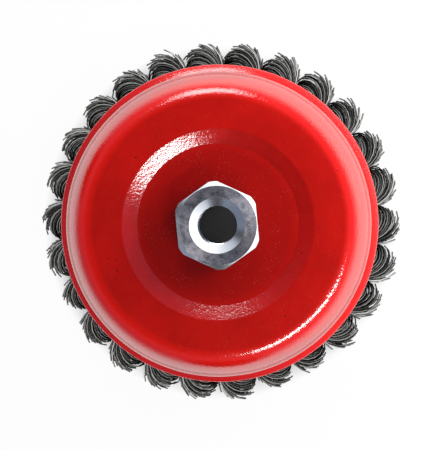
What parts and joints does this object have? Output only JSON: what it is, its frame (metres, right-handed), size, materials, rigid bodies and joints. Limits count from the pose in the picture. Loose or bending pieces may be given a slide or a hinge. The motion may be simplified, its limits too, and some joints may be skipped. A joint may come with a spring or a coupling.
{
  "type": "knotted wire cup brush",
  "caption": "Cup brush with a painted pressed steel cup, a threaded hexagon hub and a ring of twisted, flared steel wire knots.",
  "frame": {"origin": "on the brush axis, in the plane of the wire tips", "axes": "+Z along the brush axis from the wire tips towards the hub nut; +X through the first knot to within a degree"},
  "size_m": [0.1246, 0.1242, 0.062],
  "materials": {
    "cup_paint": "glossy red enamel with faint orange peel and dust specks",
    "nut_zinc": "turned and zinc plated, with cloudy grey patches",
    "holder_steel": "plain pressed steel, lightly oiled",
    "washer_steel": "plain steel",
    "wire_steel": "drawn steel wire, dark grey with bright glints"
  },
  "bodies": {
    "root": {"cup_shell": "cup_paint", "hub_nut": "nut_zinc", "knot_holder": "holder_steel", "clamp_washer": "washer_steel", "knot_01": "wire_steel", "knot_02": "wire_steel", "knot_03": "wire_steel", "knot_04": "wire_steel", "knot_05": "wire_steel", "knot_06": "wire_steel", "knot_07": "wire_steel", "knot_08": "wire_steel", "knot_09": "wire_steel", "knot_10": "wire_steel", "knot_11": "wire_steel", "knot_12": "wire_steel", "knot_13": "wire_steel", "knot_14": "wire_steel", "knot_15": "wire_steel", "knot_16": "wire_steel", "knot_17": "wire_steel", "knot_18": "wire_steel", "knot_19": "wire_steel", "knot_20": "wire_steel", "knot_21": "wire_steel", "knot_22": "wire_steel", "knot_23": "wire_steel", "knot_24": "wire_steel", "knot_25": "wire_steel", "knot_26": "wire_steel"}
  },
  "joints": []
}
